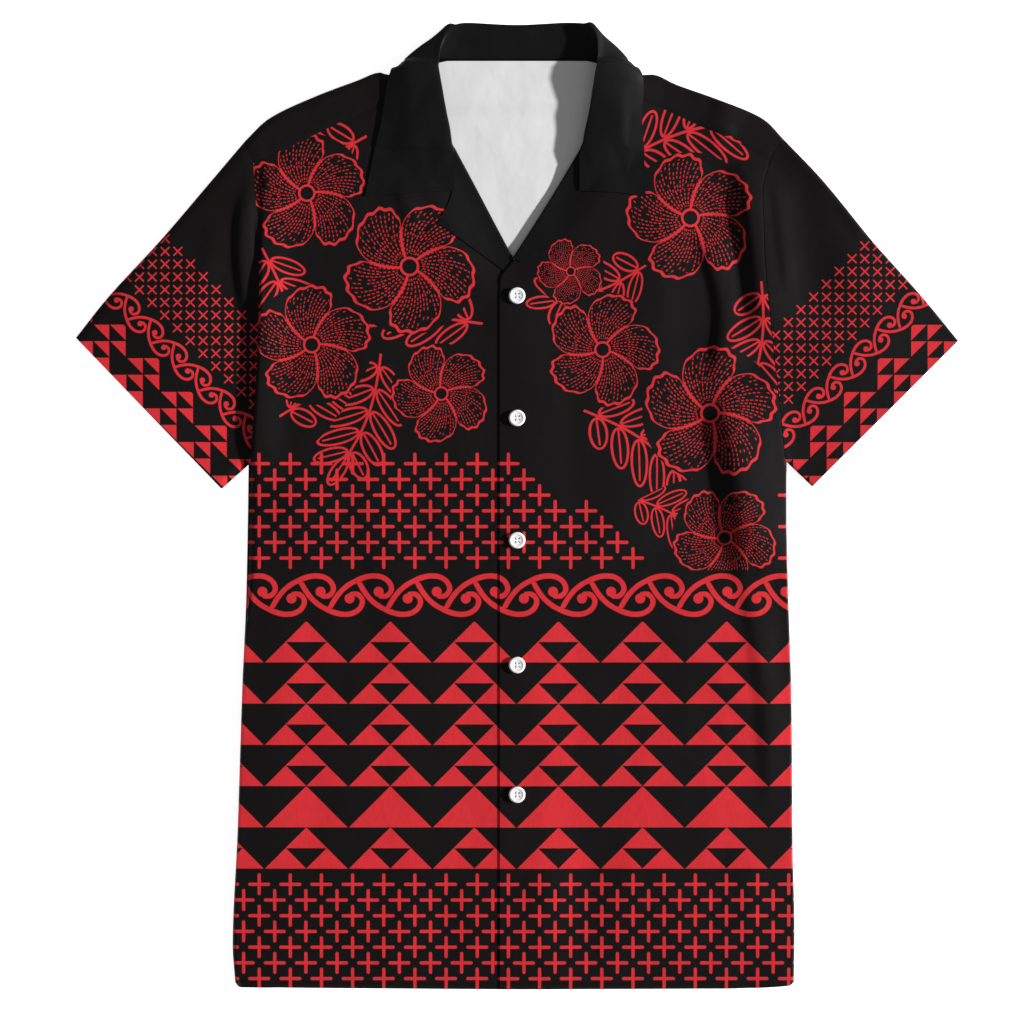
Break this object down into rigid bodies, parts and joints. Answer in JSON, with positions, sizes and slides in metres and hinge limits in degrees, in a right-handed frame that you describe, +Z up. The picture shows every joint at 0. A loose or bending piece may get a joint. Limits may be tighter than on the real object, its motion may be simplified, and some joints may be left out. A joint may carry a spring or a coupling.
{
  "type": "hawaiian shirt",
  "caption": "Short-sleeved shirt with a notched camp collar, patterned dark cloth and pale buttons, buttoned and laid flat on its back.",
  "frame": {"origin": "on the surface the shirt lies on, under the middle of its bounding box", "axes": "+Z up from the surface through back and front; +Y from hem to collar; +X to the wearer's left, which is the viewer's right"},
  "size_m": [0.7232, 0.7923, 0.0148],
  "materials": {
    "printed_cloth": "smooth black shirting with a red print, pale and unprinted inside",
    "plain_cloth": "plain black shirting, satin",
    "button": "glossy white, pearly"
  },
  "bodies": {
    "root": {"back": "printed_cloth", "front_left": "printed_cloth", "front_right": "printed_cloth", "sleeve_left": "printed_cloth", "sleeve_right": "printed_cloth", "collar": "plain_cloth", "lapel_left": "plain_cloth", "lapel_right": "plain_cloth", "button_1": "button", "button_2": "button", "button_3": "button", "button_4": "button", "button_5": "button"}
  },
  "joints": []
}
